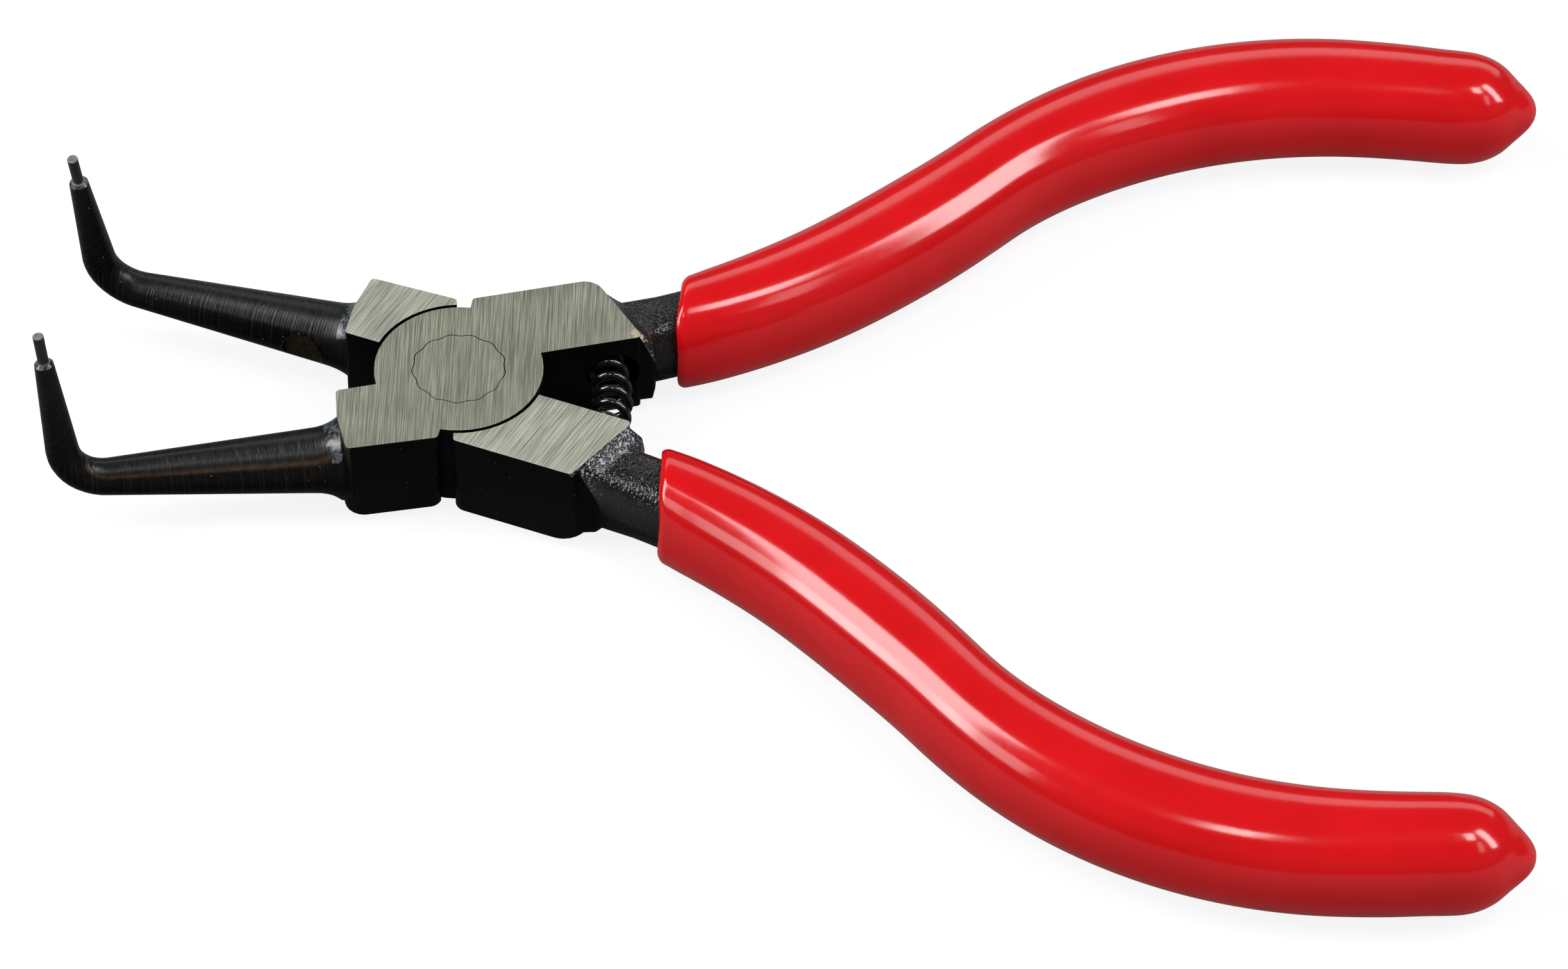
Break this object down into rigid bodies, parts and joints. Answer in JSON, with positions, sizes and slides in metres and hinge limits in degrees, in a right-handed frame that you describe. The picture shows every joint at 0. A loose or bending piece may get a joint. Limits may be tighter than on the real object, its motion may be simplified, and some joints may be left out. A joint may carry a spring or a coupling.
{
  "type": "circlip pliers",
  "caption": "Internal circlip pliers with jaws bent upright to slim round tips, a flush riveted lap joint, a return spring and red dipped grips; squeezing the handles closes the tips.",
  "frame": {"origin": "on the rivet's axis, in the plane of the head's lower ground face", "axes": "+X to the handle ends, +Y across the pliers towards the top arm's handle, +Z along the rivet, the way the bent tips point; rest pose open as the spring holds it"},
  "size_m": [0.1208, 0.0932, 0.0207],
  "materials": {
    "black_steel": "black oxide, satin, ground bright on the head's flat faces",
    "tip_steel": "black oxide with bare ends",
    "ground_steel": "ground flush",
    "spring_steel": "black, glossy wire",
    "red_coating": "glossy dipped coating"
  },
  "bodies": {
    "top": {"top_arm": "black_steel", "top_tip": "tip_steel", "rivet": "ground_steel", "spring": "spring_steel", "top_grip": "red_coating"},
    "under": {"under_arm": "black_steel", "under_tip": "tip_steel", "under_grip": "red_coating"}
  },
  "joints": [
    {"name": "squeeze", "type": "hinge", "parent": "top", "child": "under", "pos_m": [0, 0, 0.0041], "axis": [0, 0, 1], "range_deg": [-8, 32], "stiffness_Nm_per_rad": 2.3, "deforming": ["spring"]}
  ]
}
